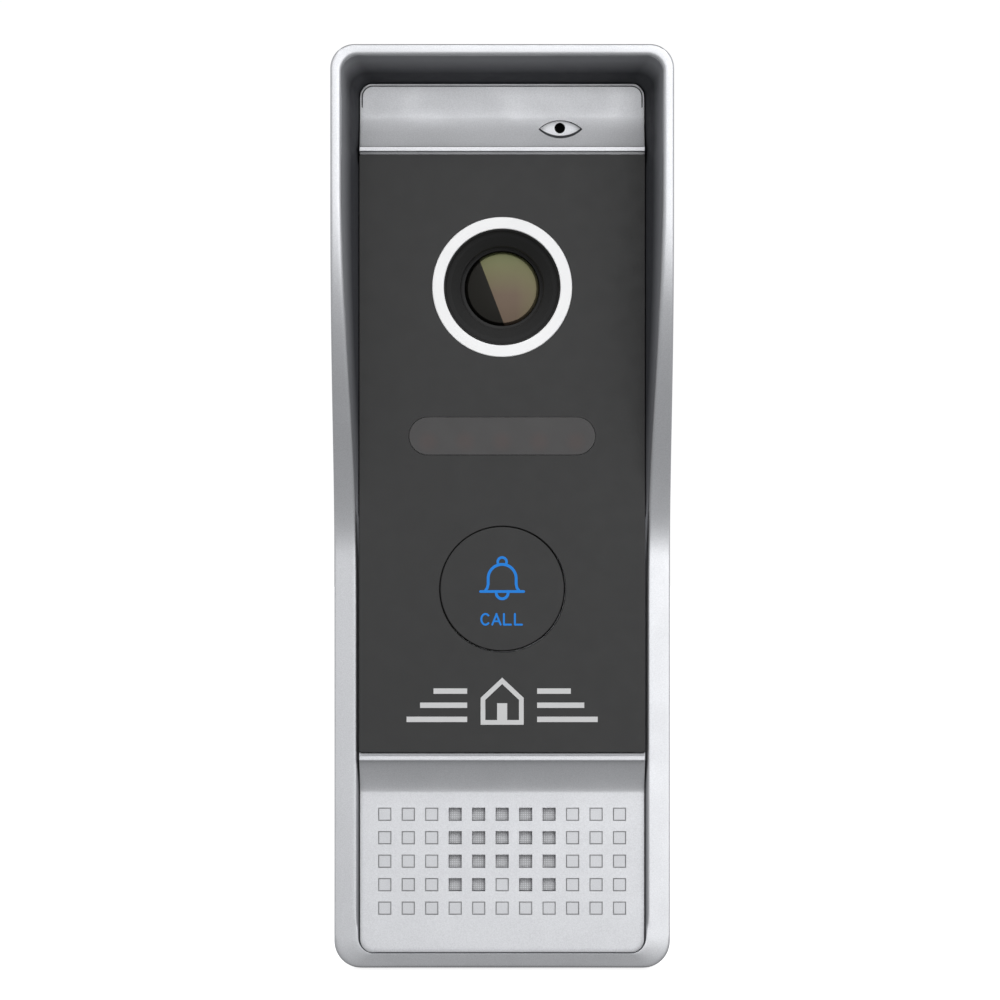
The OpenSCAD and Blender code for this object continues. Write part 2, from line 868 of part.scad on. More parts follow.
module board_screws() {
    color("gray") stood() at_each(board_screw_at) difference() {
        union() {
            rod(1.7, 7.9, board_back);
            rod(board_shank_r, board_back - 0.1, 15);
        }
        driver_cross(1, 7, 8.6);
    }
}

rain_shield();
wall_plate();
shield_screws();
cable_grommet();
rear_housing();
housing_gasket();
housing_screws();
lock_screw();
front_housing();
face_panel();
panel_adhesive();
panel_mark();
lens_ring();
lens_bezel();
lens_seal();
lens_barrel();
front_lens();
rear_lens();
lens_holder();
ir_cut_filter();
image_sensor();
camera_board();
camera_screws();
ir_window();
ir_leds();
ir_led_holder();
light_sensor();
button_cap();
button_icon();
button_light_guide();
button_leds();
switch_body();
switch_plunger();
speaker_mesh();
speaker_gasket();
speaker_frame();
speaker_magnet();
speaker_surround();
speaker_cone();
voice_coil();
mic_boot();
mic_capsule();
main_board();
board_chips();
capacitors();
wire_connector();
connector_pins();
volume_pot_body();
volume_rotor();
board_screws();
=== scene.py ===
"""Looks of a wall-mounted video door station under a rain hood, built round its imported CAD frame.

Shapes are worked out on the bench, lying on their back and in millimetres: x across, y up the wall and
d out from the wall. row() turns a bench point into the frame's metres, where the front faces -Y.
"""

import json
import math

import bmesh
import bpy
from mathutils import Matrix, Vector


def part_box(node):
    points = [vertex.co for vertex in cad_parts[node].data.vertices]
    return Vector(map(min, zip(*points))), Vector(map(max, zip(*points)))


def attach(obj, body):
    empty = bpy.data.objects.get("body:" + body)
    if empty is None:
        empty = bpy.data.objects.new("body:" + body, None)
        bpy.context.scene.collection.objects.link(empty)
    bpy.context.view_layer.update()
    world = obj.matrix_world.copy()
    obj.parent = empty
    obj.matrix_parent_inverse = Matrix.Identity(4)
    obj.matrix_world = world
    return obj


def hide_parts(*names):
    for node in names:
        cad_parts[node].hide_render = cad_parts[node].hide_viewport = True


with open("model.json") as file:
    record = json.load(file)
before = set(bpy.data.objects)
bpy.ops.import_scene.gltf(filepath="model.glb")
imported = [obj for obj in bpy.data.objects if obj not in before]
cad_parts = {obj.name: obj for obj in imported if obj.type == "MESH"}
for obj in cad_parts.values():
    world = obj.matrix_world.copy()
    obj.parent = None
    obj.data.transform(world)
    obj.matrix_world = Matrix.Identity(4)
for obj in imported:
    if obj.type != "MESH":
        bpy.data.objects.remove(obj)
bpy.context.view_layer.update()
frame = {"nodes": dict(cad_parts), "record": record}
scene = bpy.context.scene
MM = 0.001


# ---- Sizes ------------------------------------------------------------------------------------

def bench_box(node):
    """A CAD node's box on the bench: (x0, x1), (y0, y1), (d0, d1), in millimetres."""
    low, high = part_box(node)
    return (
        (low.x / MM, high.x / MM),
        (low.z / MM, high.z / MM),
        (-high.y / MM, -low.y / MM),
    )


def centre(node):
    """Middle of a node's front, (x, y), in millimetres."""
    (x0, x1), (y0, y1), _ = bench_box(node)
    return (x0 + x1) / 2, (y0 + y1) / 2


HOOD_X, HOOD_Y, HOOD_D = bench_box("rain_shield")
PANEL_X, PANEL_Y, PANEL_D = bench_box("face_panel")
UNIT_X, UNIT_Y, _ = bench_box("front_housing")
PANEL_TOP = PANEL_Y[1] - 0.15
LAMP_PITCH, LAMP_DROP = 5.5, 0.8
LENS_AT = centre("lens_ring")
WINDOW_AT = centre("ir_window")
BUTTON_AT = centre("button_cap")
SPEAKER_AT = centre("speaker_mesh")
MIC_AT = centre("mic_capsule")


# ---- Camera and light -----------------------------------------------------------------------------

ROOM_BELOW, ROOM_ABOVE = 0.3, 0.75


def add_camera():
    data = bpy.data.cameras.new("camera")
    data.sensor_width = 36
    data.lens = 165.2
    data.clip_start = 0.01
    obj = bpy.data.objects.new("camera", data)
    obj.location = (-0.32 * MM, -0.705, 1.7 * MM)
    obj.rotation_euler = (math.radians(90), 0, 0)
    scene.collection.objects.link(obj)
    scene.camera = obj


def add_softbox(name, place, aim, size, power):
    """A rectangular area light at place, turned towards aim. Metres and watts."""
    data = bpy.data.lights.new(name, "AREA")
    data.shape = "RECTANGLE"
    data.size, data.size_y = size
    data.energy = power
    obj = bpy.data.objects.new(name, data)
    obj.location = place
    obj.rotation_euler = (Vector(aim) - Vector(place)).to_track_quat("-Z", "Y").to_euler()
    scene.collection.objects.link(obj)


def add_world():
    """Soft light, brighter from above, and plain white where the camera sees past the object."""
    world = bpy.data.worlds.new("studio")
    scene.world = world
    world.use_nodes = True
    tree = world.node_tree
    tree.nodes.clear()
    out = tree.nodes.new("ShaderNodeOutputWorld")
    mix = tree.nodes.new("ShaderNodeMixShader")
    path = tree.nodes.new("ShaderNodeLightPath")
    room = tree.nodes.new("ShaderNodeBackground")
    white = tree.nodes.new("ShaderNodeBackground")
    direction = tree.nodes.new("ShaderNodeTexCoord")
    split = tree.nodes.new("ShaderNodeSeparateXYZ")
    ramp = tree.nodes.new("ShaderNodeMapRange")
    ramp.interpolation_type = "SMOOTHSTEP"
    ramp.inputs["From Min"].default_value = -0.75
    ramp.inputs["From Max"].default_value = 0.9
    ramp.inputs["To Min"].default_value = ROOM_BELOW
    ramp.inputs["To Max"].default_value = ROOM_ABOVE
    room.inputs["Color"].default_value = (0.975, 0.985, 1.0, 1)
    white.inputs["Color"].default_value = (1, 1, 1, 1)
    white.inputs["Strength"].default_value = 1.02
    tree.links.new(direction.outputs["Generated"], split.inputs[0])
    tree.links.new(split.outputs["Z"], ramp.inputs["Value"])
    tree.links.new(ramp.outputs["Result"], room.inputs["Strength"])
    tree.links.new(path.outputs["Is Camera Ray"], mix.inputs["Fac"])
    tree.links.new(room.outputs[0], mix.inputs[1])
    tree.links.new(white.outputs[0], mix.inputs[2])
    tree.links.new(mix.outputs[0], out.inputs[0])


add_camera()
add_world()
add_softbox("key_light", (0.1, -0.9, 0.65), (0, 0, 0.02), (0.8, 0.5), 4.7)
add_softbox("front_light", (0.42, -1.3, 0.08), (0, 0, 0), (1.2, 0.7), 4.4)
scene.view_settings.view_transform = "Standard"


# ---- Materials ------------------------------------------------------------------------------------

def linear(r, g, b):
    """An 8-bit screen colour as linear light."""
    def one(v):
        v /= 255
        return v / 12.92 if v <= 0.04045 else ((v + 0.055) / 1.055) ** 2.4
    return one(r), one(g), one(b), 1


class Look:
    """A Principled material with helpers for grain in its colour, roughness and surface."""

    def __init__(self, name, colour, rough, metal=0.0, specular=0.5):
        self.material = bpy.data.materials.new(name)
        self.material.use_nodes = True
        self.tree = self.material.node_tree
        self.shader = self.tree.nodes["Principled BSDF"]
        self.colour = colour
        self.set("Base Color", colour)
        self.set("Roughness", rough)
        self.set("Metallic", metal)
        self.set("Specular IOR Level", specular)
        self.set("IOR", 1.5)
        self.rough = rough
        self.coords = self.tree.nodes.new("ShaderNodeTexCoord").outputs["Object"]
        self.normal = None

    def set(self, socket, value):
        self.shader.inputs[socket].default_value = value

    def node(self, kind, **inputs):
        made = self.tree.nodes.new(kind)
        for key, value in inputs.items():
            made.inputs[key.replace("_", " ")].default_value = value
        return made

    def link(self, a, b):
        self.tree.links.new(a, b)

    def noise(self, size_mm, detail=2.0, stretch=(1, 1, 1)):
        """Noise whose features are about size_mm across."""
        mapping = self.node("ShaderNodeMapping", Scale=stretch)
        self.link(self.coords, mapping.inputs["Vector"])
        made = self.node("ShaderNodeTexNoise", Scale=1 / (size_mm * MM), Detail=detail)
        self.link(mapping.outputs[0], made.inputs["Vector"])
        return made.outputs["Fac"]

    def ranged(self, value, low, high, at=(0.3, 0.7)):
        """Value stretched from the span at to low and high, and held at them beyond it."""
        made = self.tree.nodes.new("ShaderNodeMapRange")
        made.inputs["From Min"].default_value, made.inputs["From Max"].default_value = at
        made.inputs["To Min"].default_value, made.inputs["To Max"].default_value = low, high
        self.link(value, made.inputs["Value"])
        return made.outputs["Result"]

    def blend(self, factor, a, b, how="MIX"):
        """Colour a turned towards colour b by factor. Each is a socket or a value."""
        mix = self.tree.nodes.new("ShaderNodeMix")
        mix.data_type = "RGBA"
        mix.blend_type = how
        for socket, value in ((mix.inputs["Factor"], factor), (mix.inputs[6], a), (mix.inputs[7], b)):
            self.feed(socket, value)
        return mix.outputs[2]

    def math(self, operation, a, b=0.0):
        node = self.tree.nodes.new("ShaderNodeMath")
        node.operation = operation
        for socket, value in zip(node.inputs, (a, b)):
            self.feed(socket, value)
        return node.outputs[0]

    def feed(self, socket, value):
        """Links value into the socket, or sets it where value is a plain number or colour."""
        if isinstance(value, (int, float, tuple)):
            socket.default_value = value
        else:
            self.link(value, socket)

    def painted(self):
        """The socket that feeds the base colour."""
        return self.shader.inputs["Base Color"].links[0].from_socket

    def repaint(self, colour):
        self.link(colour, self.shader.inputs["Base Color"])
        return self

    def mottle(self, value, amount):
        """Varies the colour by plus and minus amount of itself."""
        light = tuple(min(1.0, c * (1 + amount)) for c in self.colour[:3]) + (1,)
        dark = tuple(c * (1 - amount) for c in self.colour[:3]) + (1,)
        return self.repaint(self.blend(self.ranged(value, 0, 1), dark, light))

    def shade_edges(self, darkest):
        """Darkens the colour down to darkest of itself where the mesh's edge_shade is 1."""
        shade = self.node("ShaderNodeAttribute")
        shade.attribute_name = "edge_shade"
        tone = self.ranged(shade.outputs["Fac"], 1, darkest, (0, 1))
        return self.repaint(self.blend(1.0, self.painted(), tone, "MULTIPLY"))

    def shade_creases(self, reach_mm, darkest):
        """Darkens the colour, down to darkest of itself, where other surfaces are within reach."""
        near = self.node("ShaderNodeAmbientOcclusion", Distance=reach_mm * MM)
        near.samples = 8
        tone = self.ranged(near.outputs["AO"], darkest, 1, (0.3, 0.95))
        return self.repaint(self.blend(1.0, self.painted(), tone, "MULTIPLY"))

    def rough_by(self, value, amount):
        self.link(
            self.ranged(value, max(0.02, self.rough - amount), self.rough + amount),
            self.shader.inputs["Roughness"],
        )
        return self

    def bump(self, value, depth_mm, strength=1.0):
        made = self.node("ShaderNodeBump", Strength=strength, Distance=depth_mm * MM)
        self.link(value, made.inputs["Height"])
        if self.normal is not None:
            self.link(self.normal, made.inputs["Normal"])
        self.normal = made.outputs["Normal"]
        self.link(self.normal, self.shader.inputs["Normal"])
        return self


def paint_look(name, colour, rough=0.42, metal=0.75):
    look = Look(name, colour, rough, metal)
    flakes = look.noise(0.14, 3)
    look.mottle(flakes, 0.08)
    look.shade_creases(0.9, 0.5)
    look.shade_edges(0.3)
    look.rough_by(look.noise(5, 2), 0.03)
    return look.bump(flakes, 0.004, 0.5).bump(look.noise(1.6, 2), 0.004, 0.6)


def plastic_look(name, colour, rough=0.55, grain_mm=0.18, depth_mm=0.008, specular=0.4, mottle=0.02):
    look = Look(name, colour, rough, specular=specular)
    grain = look.noise(grain_mm, 3)
    look.mottle(look.noise(4, 3), mottle)
    look.rough_by(look.noise(2, 2), 0.05)
    return look.bump(grain, depth_mm, 0.8)


def metal_look(name, colour, rough=0.3):
    look = Look(name, colour, rough, metal=1.0)
    lathe = look.noise(0.25, 3, (1, 1, 6))
    look.mottle(look.noise(0.8, 3), 0.08)
    look.rough_by(lathe, 0.08)
    return look.bump(lathe, 0.004, 0.5)


def board_look(name, colour):
    """Solder mask with fine tracks showing through it."""
    look = Look(name, colour, 0.35, specular=0.5)
    brick = look.node("ShaderNodeTexBrick", Scale=1 / (2.4 * MM), Mortar_Size=0.03)
    turned = look.node("ShaderNodeMapping", Rotation=(math.radians(90), 0, 0))
    look.link(look.coords, turned.inputs["Vector"])
    look.link(turned.outputs[0], brick.inputs["Vector"])
    look.mottle(brick.outputs["Fac"], 0.25)
    look.rough_by(look.noise(3, 2), 0.05)
    return look.bump(brick.outputs["Fac"], 0.02, 0.4)


def weave_look(name, colour, pitch_mm):
    """Fine square-woven dust cloth: two crossed waves."""
    look = Look(name, colour, 0.8, specular=0.2)
    period_at_scale_1 = 0.314
    waves = []
    for direction in ("X", "Z"):
        wave = look.tree.nodes.new("ShaderNodeTexWave")
        wave.bands_direction = direction
        wave.inputs["Scale"].default_value = period_at_scale_1 / (pitch_mm * MM)
        wave.inputs["Distortion"].default_value = 0.4
        wave.inputs["Detail"].default_value = 1
        look.link(look.coords, wave.inputs["Vector"])
        waves.append(wave.outputs["Fac"])
    cross = look.math("MULTIPLY", *waves)
    look.mottle(cross, 0.25)
    return look.bump(cross, 0.05, 0.7)


SILVER = linear(211, 212, 215)
# The hood inside's own dark finish, the painted light it turns to near the rim, and the depths in
# millimetres over which that painted light fades.
HOOD_DARK, HOOD_PAINTED_LIGHT = linear(76, 77, 81), linear(160, 161, 165)
HOOD_LIGHT_FADE = (0.5, 9.0)
LOOKS = {
    "silver_paint": paint_look("silver_paint", linear(215, 216, 219)),
    "silver_plastic": paint_look("silver_plastic", SILVER),
    "black_plastic": plastic_look("black_plastic", linear(44, 44, 46)),
    "black_acrylic": plastic_look("black_acrylic", linear(55, 55, 55), 0.4, 0.5, 0.001, 0.2, 0.0),
    "button_black": plastic_look("button_black", linear(55, 55, 55), 0.4, 0.5, 0.001, 0.2, 0.0),
    "felt": plastic_look("felt", linear(16, 16, 16), 0.9, 0.1, 0.01, 0.1),
    "white_plastic": plastic_look("white_plastic", linear(253, 253, 253), 0.4, 0.4, 0.004, 0.55),
    "funnel_black": plastic_look("funnel_black", linear(50, 50, 50), 0.5, 0.3, 0.002, 0.1),
    "silver_ink": plastic_look("silver_ink", linear(206, 206, 206), 0.5, 0.12, 0.004, 0.3),
    "clear_plastic": plastic_look("clear_plastic", linear(225, 233, 240), 0.3),
    "clear_epoxy": plastic_look("clear_epoxy", linear(190, 120, 120), 0.2, 0.6, 0.003, 0.5),
    "black_rubber": plastic_look("black_rubber", linear(38, 38, 38), 0.75, 0.3, 0.02, 0.3),
    "screw_steel": metal_look("screw_steel", linear(196, 197, 199), 0.35),
    "magnet_steel": metal_look("magnet_steel", linear(170, 171, 174), 0.3),
    "bright_can": metal_look("bright_can", linear(215, 215, 216), 0.25),
    "copper_wire": metal_look("copper_wire", linear(190, 110, 70), 0.35),
    "gold_pins": metal_look("gold_pins", linear(220, 190, 110), 0.25),
    "board_green": board_look("board_green", linear(30, 96, 52)),
    "chip_black": plastic_look("chip_black", linear(40, 40, 42), 0.6, 0.1),
    "capacitor_sleeve": plastic_look("capacitor_sleeve", linear(36, 46, 88), 0.35),
    "ivory_nylon": plastic_look("ivory_nylon", linear(232, 226, 206), 0.5),
    "pot_blue": plastic_look("pot_blue", linear(40, 92, 178), 0.4),
    "cone_film": plastic_look("cone_film", linear(52, 52, 54), 0.5),
    "speaker_cloth": weave_look("speaker_cloth", linear(220, 221, 224), 0.28),
    "adhesive_film": plastic_look("adhesive_film", linear(214, 210, 190), 0.8),
    "coated_glass": plastic_look("coated_glass", linear(30, 32, 30), 0.08, 2.0, 0.001, 0.6),
}


def lit_look():
    """Blue inlay that glows a little."""
    look = Look("icon_blue", linear(12, 100, 178), 0.4, specular=0.2)
    look.mottle(look.noise(0.6, 2), 0.05)
    look.set("Emission Color", linear(40, 145, 240))
    look.set("Emission Strength", 0.3)
    return look.bump(look.noise(0.3, 2), 0.002, 0.5)


def smoked_look():
    """Smoked window, with a faint warm spot in front of each lamp behind it."""
    look = plastic_look("smoked_acrylic", linear(72, 71, 71), 0.35, 0.8, 0.002, 0.25, 0.0)
    place = look.tree.nodes.new("ShaderNodeSeparateXYZ")
    look.link(look.coords, place.inputs[0])
    half_pitch = LAMP_PITCH / 2 * MM
    whole_pitches = 100 * 2 * half_pitch  # keeps what goes into the ping-pong above zero
    across = look.math("PINGPONG", look.math("ADD", place.outputs["X"], whole_pitches), half_pitch)
    up = look.math("SUBTRACT", place.outputs["Z"], (WINDOW_AT[1] - LAMP_DROP) * MM)
    squares = look.math("ADD", look.math("POWER", across, 2), look.math("MULTIPLY", up, up))
    away = look.ranged(look.math("SQRT", squares), 0, 1, (0.6 * MM, 1.8 * MM))
    return look.repaint(look.blend(away, linear(77, 71, 70), look.painted()))


def hood_inside_look():
    """Matt dark finish with painted light that lightens it towards the rim, set by the mesh's attribute
    of depth below the rim, in millimetres.
    """
    look = plastic_look("hood_inside", HOOD_DARK, 0.6, 0.3, 0.01, 0.06)
    edge = look.tree.nodes.new("ShaderNodeAttribute")
    edge.attribute_name = "painted_light_depth"
    into_shade = look.ranged(edge.outputs["Fac"], 0, 1, HOOD_LIGHT_FADE)
    return look.repaint(look.blend(into_shade, HOOD_PAINTED_LIGHT, look.painted()))


LOOKS["icon_blue"] = lit_look()
LOOKS["hood_inside"] = hood_inside_look()
# Dark grey painted shade on recess walls: the eye dish's walls, the top groove's ends and the open
# squares' walls.
LOOKS["recess_painted_shade"] = plastic_look("recess_painted_shade", linear(88, 89, 92), 0.7, 0.3, 0.004, 0.05)
# Copies of the shell's silver, toned darker for the blind squares and lighter for the eye dish's floor:
# painted shade and painted light.
LOOKS["blind_square"] = paint_look("blind_square", linear(202, 203, 206))
LOOKS["eye_floor"] = paint_look("eye_floor", linear(214, 215, 218))
LOOKS["smoked_acrylic"] = smoked_look()


# ---- Mesh tools -----------------------------------------------------------------------------------

def row(x, y, d):
    return Vector((x * MM, -d * MM, y * MM))


def lofted(loops, closed=False):
    """A bmesh through loops of equal length, on the bench. Open lofts get flat ends."""
    bm = bmesh.new()
    rings = [[bm.verts.new(row(*p)) for p in loop] for loop in loops]
    n = len(loops[0])
    pairs = list(zip(rings, rings[1:]))
    if closed:
        pairs.append((rings[-1], rings[0]))
    for a, b in pairs:
        for i in range(n):
            j = (i + 1) % n
            bm.faces.new((a[i], a[j], b[j], b[i]))
    if not closed:
        bm.faces.new(rings[0])
        bm.faces.new(list(reversed(rings[-1])))
    bmesh.ops.recalc_face_normals(bm, faces=bm.faces)
    return bm


def as_object(name, bm):
    mesh = bpy.data.meshes.new(name)
    bm.to_mesh(mesh)
    bm.free()
    obj = bpy.data.objects.new(name, mesh)
    scene.collection.objects.link(obj)
    return obj


def circle(r, at=(0, 0), n=96):
    return [
        (at[0] + r * math.cos(2 * math.pi * i / n), at[1] + r * math.sin(2 * math.pi * i / n))
        for i in range(n)
    ]


def rounded(half, y0, y1, r, low_r=None, corner=10, across=1, up=1):
    """Rounded rectangle, anticlockwise from its right side. Loops with the same counts match."""
    low_r = r if low_r is None else low_r
    points = []
    corners = [
        (half - r, y1 - r, r, 0, "across"),
        (-half + r, y1 - r, r, 90, "up"),
        (-half + low_r, y0 + low_r, low_r, 180, "across"),
        (half - low_r, y0 + low_r, low_r, 270, "up"),
    ]
    for k, (cx, cy, bend, start, side) in enumerate(corners):
        for i in range(corner + 1):
            a = math.radians(start + 90 * i / corner)
            points.append((cx + bend * math.cos(a), cy + bend * math.sin(a)))
        nx, ny, after_bend, after, _ = corners[(k + 1) % 4]
        a = math.radians(after)
        end = (nx + after_bend * math.cos(a), ny + after_bend * math.sin(a))
        count = across if side == "across" else up
        sx, sy = points[-1]
        for i in range(1, count):
            t = i / count
            points.append((sx + (end[0] - sx) * t, sy + (end[1] - sy) * t))
    return points


def stadium(half, r, at, n=24):
    points = []
    for side, start in ((1, -90), (-1, 90)):
        for i in range(n + 1):
            a = math.radians(start + 180 * i / n)
            points.append((at[0] + side * (half - r) + r * math.cos(a), at[1] + r * math.sin(a)))
    return points


def prism(outline, d0, d1):
    return lofted([[(x, y, d) for x, y in outline] for d in (d0, d1)])


def turned(profile, at, closed=True, n=96):
    """A lathe-turned shape: profile is (radius, depth) points."""
    return lofted([[(x, y, d) for x, y in circle(r, at, n)] for r, d in profile], closed)


def arc(cx, cy, r, start, end, n):
    """Points of an arc round (cx, cy), from angle start to end in degrees."""
    return [
        (
            cx + r * math.cos(math.radians(start + (end - start) * i / n)),
            cy + r * math.sin(math.radians(start + (end - start) * i / n)),
        )
        for i in range(n + 1)
    ]


def joined(name, parts):
    """Several bmeshes as one object."""
    whole = bmesh.new()
    for part in parts:
        mesh = bpy.data.meshes.new("part")
        part.to_mesh(mesh)
        part.free()
        whole.from_mesh(mesh)
        bpy.data.meshes.remove(mesh)
    return as_object(name, whole)


def baked(obj):
    """Applies the object's modifiers."""
    graph = bpy.context.evaluated_depsgraph_get()
    mesh = bpy.data.meshes.new_from_object(obj.evaluated_get(graph))
    obj.modifiers.clear()
    old, obj.data = obj.data, mesh
    bpy.data.meshes.remove(old)
    return obj


def cut(obj, parts):
    """Takes the bmeshes in parts out of obj."""
    tool = joined("tool", parts)
    modifier = obj.modifiers.new("cut", "BOOLEAN")
    modifier.operation = "DIFFERENCE"
    modifier.solver = "EXACT"
    modifier.object = tool
    baked(obj)
    bpy.data.objects.remove(tool)
    return obj


def finished(obj, look, body="station", replaces=(), angle=32):
    """Smooths the piece up to its real edges, gives it its material and hangs it on its body."""
    mesh = obj.data
    for face in mesh.polygons:
        face.use_smooth = True
    mesh.set_sharp_from_angle(angle=math.radians(angle))
    modifier = obj.modifiers.new("flat faces stay flat", "WEIGHTED_NORMAL")
    modifier.keep_sharp = True
    modifier.weight = 100
    baked(obj)
    if not obj.data.materials:
        obj.data.materials.append(LOOKS[look].material)
    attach(obj, body)
    if replaces:
        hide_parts(*replaces)
    return obj


# ---- Rain hood ------------------------------------------------------------------------------------

TOP_CORNER_R, LOW_CORNER_R = 3.5, 4.0
RIM_LOW_D = 22.0
RISE_START, RISE_END = -6.5, 49.0
# How far the rim falls towards its outside: along the bottom, and along the low sides.
LIP_DROP, SIDE_LEAN = 0.64, 0.34
# How far the high rim falls at both its edges, and towards its inside along the top.
CROWN, BROW = 0.035, 0.08
# Rounding of the rim's outer edge: low down, added higher up, and along the bottom.
OUTER_R, OUTER_R_GAIN, LIP_R, LIP_TOP_Y = 0.22, 0.08, 0.4, -63
# Rounding of its inner edge, and of the sharper one along the bottom.
INNER_R, SHARP_R = 0.55, 0.03
SHARP_FROM_Y, SHARP_BLEND = -60, 4
# Half width of the opening in the low rim and in the high one, and where it starts to widen.
OPENING_LOW, OPENING_TOP = 21.46, 23.35
OPENING_FROM_Y, OPENING_BLEND = -14, 64
OPENING_CEILING = 66.3
# Gap between the unit and the hood's inner wall, and the depth at which that wall closes on it.
SNUG = 0.05
SHUT_BESIDE_PANEL, SHUT_AT_ENDS = 22.3, 20.3
# Painted shade and light inside the hood: millimetres added to the depth below the rim for the low
# walls, and taken off for the ceiling.
LOW_PAINTED_SHADE, CEILING_PAINTED_LIGHT = 5, 3
CEILING_FROM_Y, CEILING_BLEND = 62, 4
# Shade inside the low rim, and the width and height of the shade on the top's outer edge.
INNER_SHADE, SHADE_W, SHADE_H = 0.75, 0.4, 0.28


def ease(t):
    t = min(1.0, max(0.0, t))
    return t * t * (3 - 2 * t)


def rise(y):
    """How far up its S-curve the rim is at height y, 0 to 1. The lower bend is the tighter one."""
    t = min(1.0, max(0.0, (y - RISE_START) / (RISE_END - RISE_START)))
    return t * t * (6 - 8 * t + 3 * t * t)


def rim_depth(y):
    return RIM_LOW_D + (HOOD_D[1] - RIM_LOW_D) * rise(y)


def opening_half(y):
    """Half width of the opening at the rim's front, at height y."""
    return OPENING_LOW + (OPENING_TOP - OPENING_LOW) * ease((y - OPENING_FROM_Y) / OPENING_BLEND)


def hood_section(outer, opening, snug):
    """One cut through the hood's wall: up the outside, over the rim and down the inside."""
    steps = 6
    (ox, oy), (ix, iy) = outer, opening
    across = Vector((ix - ox, iy - oy))
    width = across.length
    across.normalize()
    inner_r = INNER_R - (INNER_R - SHARP_R) * ease((SHARP_FROM_Y - iy) / SHARP_BLEND)
    top, inner_top = rim_depth(oy), rim_depth(iy)
    up = rise(oy)
    outer_r = OUTER_R + OUTER_R_GAIN * up if oy > LIP_TOP_Y else LIP_R
    lean = SIDE_LEAN * (1 - up) * abs(across.x) + LIP_DROP * max(0.0, across.y) ** 2
    crown = CROWN * up
    brow = BROW * up * max(0.0, -across.y)

    def face(u):
        """Depth across the rim, u from 0 at its outside to 1 at its inside."""
        return top + (inner_top - top) * u - lean * (1 - u) - brow * u - crown * (2 * u - 1) ** 2

    points = [(ox, oy, HOOD_D[0])]
    for i in range(steps + 1):
        a = math.radians(90 * i / steps)
        inset = outer_r * (1 - math.cos(a))
        points.append((
            ox + across.x * inset,
            oy + across.y * inset,
            face(inset / width) - outer_r * (1 - math.sin(a)),
        ))
    start, end = outer_r / width, 1 - inner_r / width
    for i in range(1, steps):
        u = start + (end - start) * i / steps
        points.append((ox + across.x * width * u, oy + across.y * width * u, face(u)))
    for i in range(steps + 1):
        a = math.radians(90 * i / steps)
        inset = inner_r * (1 - math.sin(a))
        points.append((
            ix - across.x * inset,
            iy - across.y * inset,
            face(1 - inset / width) - inner_r * (1 - math.cos(a)),
        ))
    wall_top = points[-1][2]
    silver = len(points) - 1
    wall_end = min(floor_depth(iy), wall_top - 0.3)
    for i in range(1, steps + 1):
        t = i / steps
        points.append((
            ix + (snug[0] - ix) * t,
            iy + (snug[1] - iy) * t,
            wall_top + (wall_end - wall_top) * t,
        ))
    points.append((*snug, HOOD_D[0]))
    return points, silver


def floor_depth(y):
    """Depth at which the hood's inner wall closes on the camera unit."""
    beside_panel = PANEL_Y[0] - 0.5 < y < PANEL_Y[1] + 1
    return SHUT_BESIDE_PANEL if beside_panel else SHUT_AT_ENDS


def make_rain_shield():
    counts = {"corner": 14, "across": 8, "up": 120}
    outer = rounded(HOOD_X[1], HOOD_Y[0], HOOD_Y[1], TOP_CORNER_R, LOW_CORNER_R, **counts)
    floor_y = UNIT_Y[0] - 0.02
    opening = [
        (x * opening_half(y) / OPENING_TOP, y)
        for x, y in rounded(OPENING_TOP, floor_y, OPENING_CEILING, 2.3, 2.5, **counts)
    ]
    snug = rounded(UNIT_X[1] + SNUG, floor_y, UNIT_Y[1] + SNUG, 2.05, 2.05, **counts)
    sections = [hood_section(*edges) for edges in zip(outer, opening, snug)]
    loops = [list(loop) for loop in zip(*(points for points, _ in sections))]
    obj = as_object("rain_hood", lofted(loops, closed=True))
    obj.data.materials.append(LOOKS["silver_paint"].material)
    obj.data.materials.append(LOOKS["hood_inside"].material)
    count = len(outer)
    first_dark = sections[0][1] * count
    for face in obj.data.polygons:
        if first_dark <= face.index < (len(loops) - 1) * count:
            face.material_index = 1
    lock_d = 8.4
    lock_hole = lofted([
        [(x, y, d + lock_d) for x, d in circle(r, n=48)]
        for r, y in ((3.0, -70), (3.0, -68), (1.7, -66.6), (1.7, -64))
    ])
    cut(obj, [lock_hole])
    # Values that set painted light and shade: inside the hood, and on the silver's edges.
    add_attribute(obj, "painted_light_depth", painted_light_depth)
    add_attribute(obj, "edge_shade", edge_shade)
    return finished(obj, "silver_paint", replaces=["rain_shield"], angle=40)


def add_attribute(obj, name, rule):
    """A value at every vertex, from rule(x, y, d)."""
    made = obj.data.attributes.new(name, "FLOAT", "POINT")
    for vertex, value in zip(obj.data.vertices, made.data):
        value.value = rule(vertex.co.x / MM, vertex.co.z / MM, -vertex.co.y / MM)


def painted_light_depth(x, y, d):
    """Depth below the rim that sets the hood inside's painted light, shifted so that the low walls get
    more painted shade and the ceiling more painted light.
    """
    darker = LOW_PAINTED_SHADE * (1 - rise(y))
    lighter = CEILING_PAINTED_LIGHT * ease((y - CEILING_FROM_Y) / CEILING_BLEND)
    return rim_depth(y) - d + darker - lighter


def edge_shade(x, y, d):
    """Shade drawn on the silver, 0 to 1: on the top's outer edge and the low rim's inner edge."""
    over_opening = (abs(x) - opening_half(y)) / INNER_R
    if y > UNIT_Y[0] + 4 and -0.01 < over_opening < 1 and d > rim_depth(y) - 1:
        return INNER_SHADE * (1 - over_opening) * (1 - rise(y)) ** 4
    from_side, from_top = HOOD_X[1] - abs(x), HOOD_Y[1] - y
    into = min(from_side, from_top)
    if max(from_side, from_top) < TOP_CORNER_R:
        into = TOP_CORNER_R - math.hypot(TOP_CORNER_R - from_side, TOP_CORNER_R - from_top)
    if d <= rim_depth(y) - SHADE_H or into >= SHADE_W:
        return 0.0
    return (1 - into / SHADE_W) * ease(1 - from_top / TOP_CORNER_R)


# ---- Front housing --------------------------------------------------------------------------------

